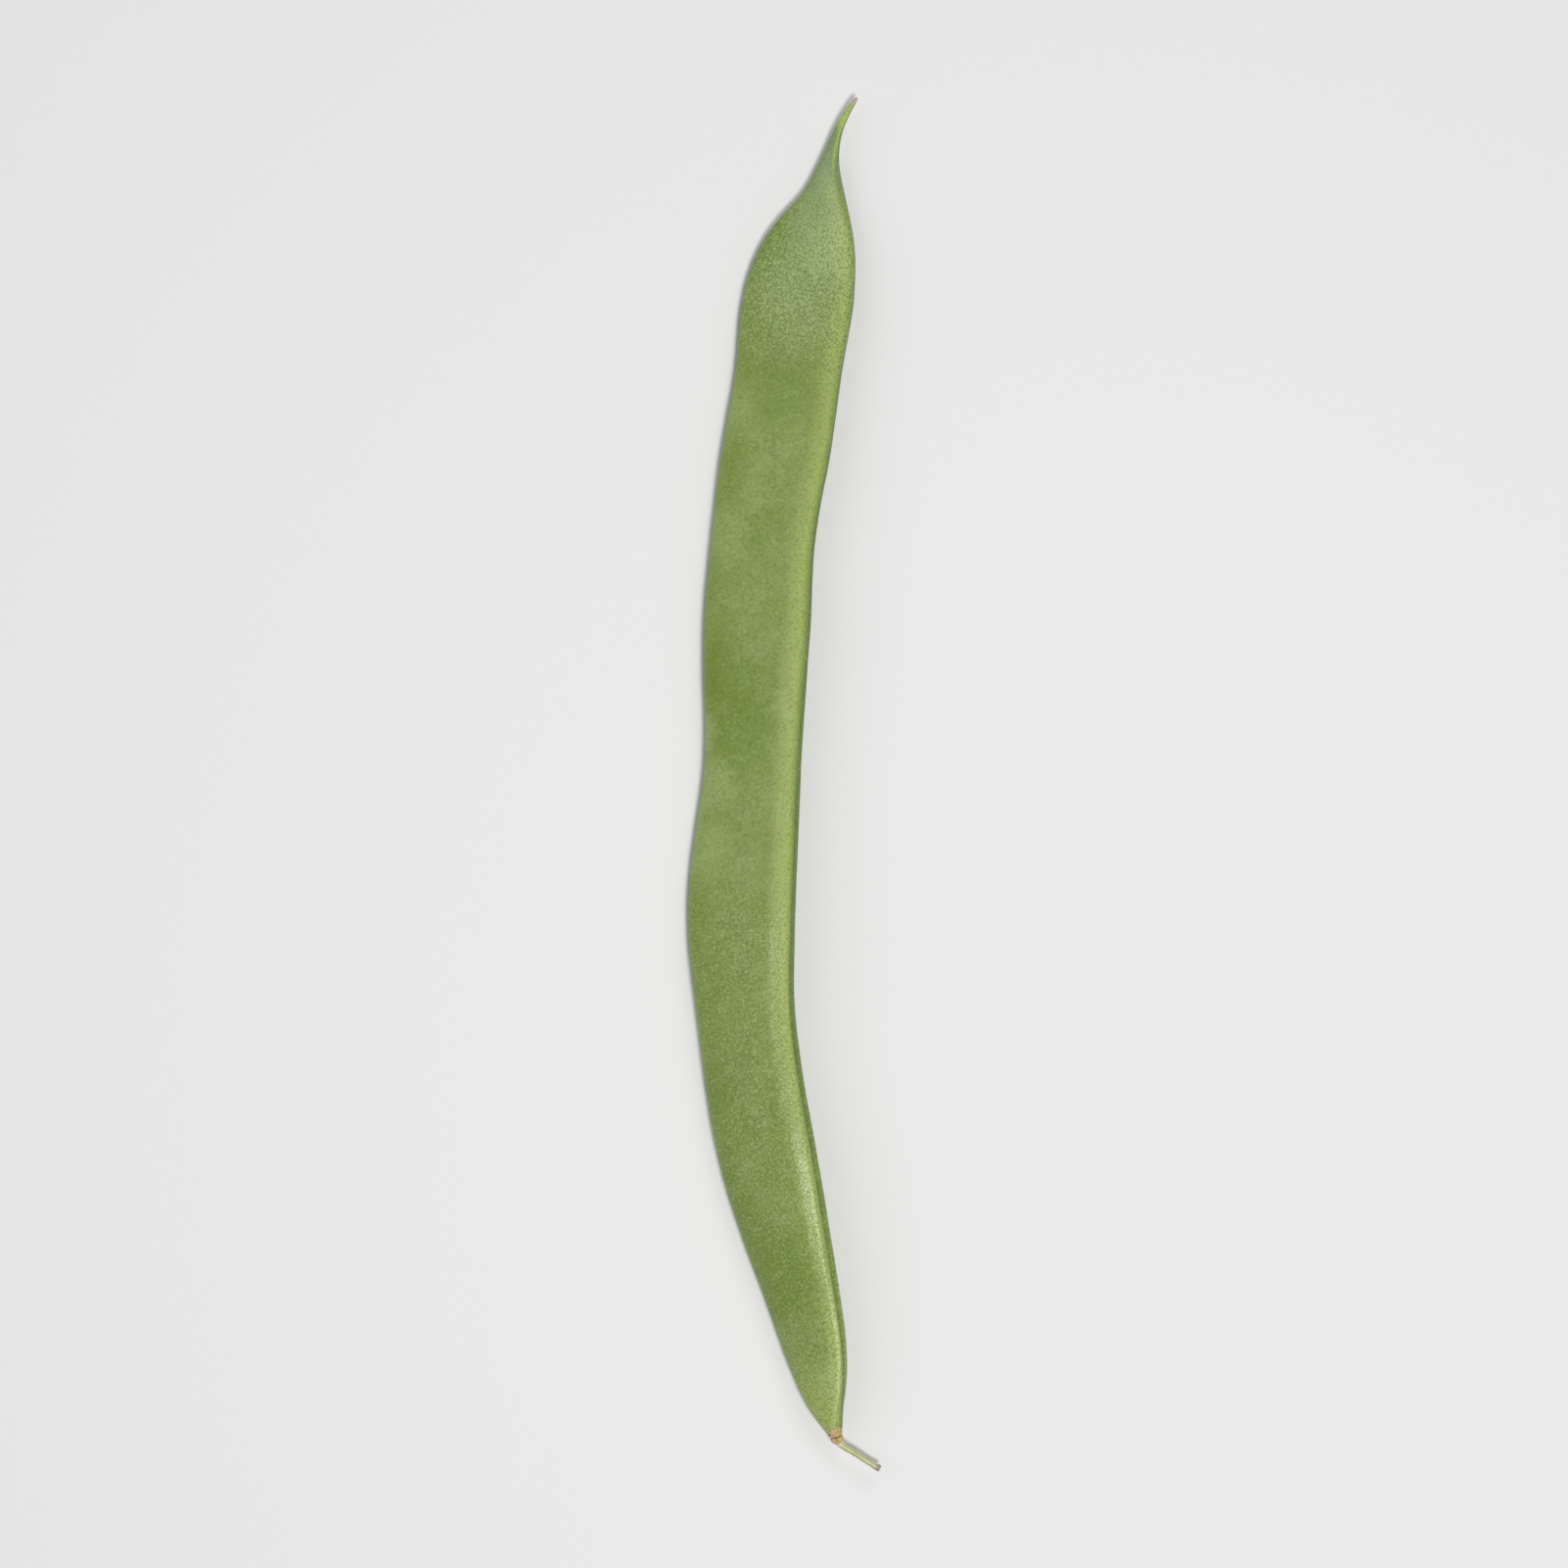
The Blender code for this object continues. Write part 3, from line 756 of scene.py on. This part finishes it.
def dried_sepals():
    """Dried sepals: thin dead leaf that shrank and browned as it dried. It gives the eye matt, papery tan and
    golden brown, pinkish where it is thin, with dark brown in the folds and along the torn rim."""
    made = bpy.data.materials.new("dried sepals, brown papery leaf")
    made.use_nodes = True
    tree = made.node_tree
    shader = tree.nodes["Principled BSDF"]
    place = add(tree, "TexCoord", {}, {}).outputs["Object"]
    dried = add(tree, "Attribute", {"attribute_name": "dried"}, {}).outputs["Vector"]
    pink, raised, _ = add(tree, "SeparateXYZ", {}, {"Vector": dried}).outputs
    blotches = add(tree, "TexNoise", {}, {"Vector": place, "Scale": 1 / (0.7 * MM), "Detail": 3.0}).outputs[0]
    fibre = add(tree, "TexNoise", {}, {"Vector": place, "Scale": 1 / (0.14 * MM), "Detail": 3.0}).outputs[0]

    colour = coated(
        tree,
        "#CDBB7E",
        (
            ("#A08448", blotches, 0.44, 0.66, 0.85),  # golden brown blotches
            ("#D8AE90", pink, 0.45, 0.85, 0.75),
            ("#D9C594", raised, 0.30, 1.00, 0.65),  # paler tops of the folds, partly painted light on the crumples
            ("#5A4A22", raised, -0.15, -1.10, 0.85),  # bottoms of the folds and the crease, partly painted shade in them
            ("#664A2A", fibre, 0.56, 0.76, 0.60),
        ),
    )
    tree.links.new(colour, shader.inputs["Base Color"])
    papery = {"Value": fibre, "From Min": 0.3, "From Max": 0.7, "To Min": 0.60, "To Max": 0.85}
    tree.links.new(add(tree, "MapRange", {}, papery).outputs[0], shader.inputs["Roughness"])
    tree.links.new(embossed(tree, ((blotches, 0.05), (fibre, 0.04))), shader.inputs["Normal"])
    shader.inputs["IOR"].default_value = 1.45
    shader.inputs["Sheen Weight"].default_value = 0.15
    shader.inputs["Sheen Roughness"].default_value = 0.6
    return made


calyx.data.materials.append(dried_sepals())
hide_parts("calyx")
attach(calyx, "root")

# ----------------------------------------------------------------------------------------------------------
# The stalk. The pedicel that the bean hung from: a thin ribbed green stem, pale and swollen at the calyx,
# going straw-coloured, and snapped at its far end, where the torn fibres have dried brown.
# ----------------------------------------------------------------------------------------------------------
STALK_FOOT = 1.95  # from the neck's end to where the stalk's own line begins
# (share of the length, x, y, z, radius), counted from the foot.
STALK_LINE = (
    (0.00, -0.18, 0.62, 0.0, 0.68),
    (0.08, 0.30, 0.14, 0.0, 0.66),
    (0.18, 0.95, -0.34, 0.1, 0.55),
    (0.30, 1.80, -0.84, 0.2, 0.52),
    (0.45, 2.90, -1.50, 0.2, 0.51),
    (0.70, 4.70, -2.68, 0.1, 0.50),
    (0.90, 6.00, -3.50, -0.1, 0.53),
    (1.00, 6.62, -3.88, -0.2, 0.59),
)
STALK_SIDES = 60
STALK_RINGS = 200
STALK_RIBS = (0.03, 5, 0.0)  # height, number and place round it of its ribs
STALK_CRUMPLE = (0.05, 0.9)  # height and size
STALK_LENGTH = 9.0  # about, to lay the crumples along it
TORN = (0.22, 0.16)  # reach and size of the torn fibres
STALK_BLUNT = 0.022  # share of the length over which each end closes
BRACT_SCAR = (0.41, 0.012, 0.06)  # share of the length, spread and height of the ring that a bract left


def snapped_stem(station, around):
    """Points of the stalk, and for each: share of its length, height on a rib and depth in from the skin."""
    line = np.array(STALK_LINE)
    share = 0.5 + 0.5 * station
    radius = smooth_curve(line[:, (0, 4)])(share)
    closing = blunt_end(share, STALK_BLUNT) * blunt_end(1.0 - share, STALK_BLUNT)
    ring = np.stack((np.cos(around), np.sin(around), STALK_LENGTH * share), axis=1)
    rib = np.sin(STALK_RIBS[1] * around + STALK_RIBS[2])
    radius = radius + STALK_RIBS[0] * rib + STALK_CRUMPLE[0] * uneven(ring, STALK_CRUMPLE[1], 2.0)
    radius = radius + BRACT_SCAR[2] * np.exp(-(((share - BRACT_SCAR[0]) / BRACT_SCAR[1]) ** 2))

    middle = np.stack([smooth_curve(line[:, (0, axis)])(share) for axis in (1, 2, 3)], axis=1)
    ahead = np.stack([smooth_curve(line[:, (0, axis)])(share + 0.01) for axis in (1, 2, 3)], axis=1)
    along = ahead - middle
    along /= np.linalg.norm(along, axis=1, keepdims=True)
    side = np.cross(along, (0.0, 0.0, 1.0))
    side /= np.linalg.norm(side, axis=1, keepdims=True)
    up = np.cross(side, along)

    spread = closing * radius
    face = np.stack((spread * ring[:, 0], spread * ring[:, 1], 0.0 * share), axis=1)
    torn = ramp(share, 1.0 - 2.0 * STALK_BLUNT, 1.0) * TORN[0] * uneven(face, TORN[1], 4.0)
    points = np.array(neck_start - neck_in * STALK_FOOT) + middle
    points = points + side * face[:, :1] + up * face[:, 1:2] + along * torn[:, None]
    return points, np.stack((share, rib, 1.0 - closing), axis=1)


stalk, stalk_grown = drawn_out("snapped_stalk", STALK_SIDES, STALK_RINGS, snapped_stem)
stalk.data.transform(Matrix.Scale(MM, 4) @ Matrix.Translation(shift))
keep_vector(stalk, "stem", stalk_grown)


def stalk_skin():
    """A young green stem, ribbed and a little dried after picking. It gives the eye a satin pale yellow-green
    with straw-brown lines between the ribs, going brown and matt at the snapped end."""
    made = bpy.data.materials.new("stalk skin, thin green stem")
    made.use_nodes = True
    tree = made.node_tree
    shader = tree.nodes["Principled BSDF"]
    place = add(tree, "TexCoord", {}, {}).outputs["Object"]
    stem = add(tree, "Attribute", {"attribute_name": "stem"}, {}).outputs["Vector"]
    length, rib, inside = add(tree, "SeparateXYZ", {}, {"Vector": stem}).outputs
    blotches = add(tree, "TexNoise", {}, {"Vector": place, "Scale": 1 / (1.3 * MM), "Detail": 3.0}).outputs[0]
    fibre = add(tree, "TexNoise", {}, {"Vector": place, "Scale": 1 / (0.15 * MM), "Detail": 3.0}).outputs[0]

    colour = coated(
        tree,
        "#CFCEA4",
        (
            ("#B4BA6E", blotches, 0.44, 0.62, 0.70),  # greener blotches
            ("#7F8156", rib, 0.00, -0.90, 0.70),  # between the ribs
            ("#DACFB4", length, 0.17, 0.05, 0.85),  # pale at the calyx
            ("#A28F80", length, 0.86, 0.93, 0.95),  # dried at the snapped end
            ("#6E5646", inside, 0.05, 0.45, 0.80),  # torn fibres
            ("#7F7A4C", fibre, 0.56, 0.74, 0.40),
        ),
    )
    tree.links.new(colour, shader.inputs["Base Color"])
    satin = {"Value": fibre, "From Min": 0.3, "From Max": 0.7, "To Min": 0.42, "To Max": 0.66}
    tree.links.new(add(tree, "MapRange", {}, satin).outputs[0], shader.inputs["Roughness"])
    tree.links.new(embossed(tree, ((blotches, 0.05), (fibre, 0.02))), shader.inputs["Normal"])
    shader.inputs["IOR"].default_value = 1.45
    shader.inputs["Sheen Weight"].default_value = 0.15
    return made


stalk.data.materials.append(stalk_skin())
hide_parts("stalk")
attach(stalk, "root")

# ----------------------------------------------------------------------------------------------------------
# The stage: a plain pale floor, three soft lamps, pale light all round, and a long lens that looks straight
# down with the beak at the top.
# ----------------------------------------------------------------------------------------------------------
VIEW_WIDTH = 0.256
LENS = 100.0
FLOOR_SIZE = 6.0
ROOM_LIGHT = 0.22  # strength of the pale light all round
LAMPS = {  # place, width of its soft box, power in watts, and colour
    "key_lamp": ((0.13, -0.20, 0.92), 0.20, 5.5, "#FFFEFB"),
    "left_lamp": ((-0.70, 0.25, 0.75), 0.90, 2.2, "#FFFFFF"),
    "far_lamp": ((0.25, 0.60, 0.72), 0.40, 1.4, "#FFFFFF"),
}

floor_mesh = bpy.data.meshes.new("floor")
bm = bmesh.new()
bmesh.ops.create_grid(bm, x_segments=1, y_segments=1, size=FLOOR_SIZE / 2.0)
bm.to_mesh(floor_mesh)
bm.free()
floor = bpy.data.objects.new("floor", floor_mesh)
bpy.context.scene.collection.objects.link(floor)
floor_paint = bpy.data.materials.new("pale matt board")
floor_paint.use_nodes = True
floor_paint.node_tree.nodes["Principled BSDF"].inputs["Base Color"].default_value = paint("#E7E7E9")
floor_paint.node_tree.nodes["Principled BSDF"].inputs["Roughness"].default_value = 0.9
floor.data.materials.append(floor_paint)

for name, (place, width, power, tint) in LAMPS.items():
    lamp = bpy.data.lights.new(name, "AREA")
    lamp.size = width
    lamp.color = paint(tint)[:3]
    lamp.energy = power
    holder = bpy.data.objects.new(name, lamp)
    holder.location = place
    holder.rotation_euler = (-Vector(place)).to_track_quat("-Z", "Y").to_euler()
    bpy.context.scene.collection.objects.link(holder)

sky = bpy.data.worlds.new("pale room")
sky.use_nodes = True
sky.node_tree.nodes["Background"].inputs["Color"].default_value = (1.0, 1.0, 1.0, 1.0)
sky.node_tree.nodes["Background"].inputs["Strength"].default_value = ROOM_LIGHT
bpy.context.scene.world = sky
bpy.context.scene.view_settings.view_transform = "Standard"

lens = bpy.data.cameras.new("camera")
lens.lens = LENS
camera = bpy.data.objects.new("camera", lens)
camera.location = (0.0, 0.0, cad_high.z / 2.0 + VIEW_WIDTH * LENS / lens.sensor_width)
bpy.context.scene.collection.objects.link(camera)
bpy.context.scene.camera = camera
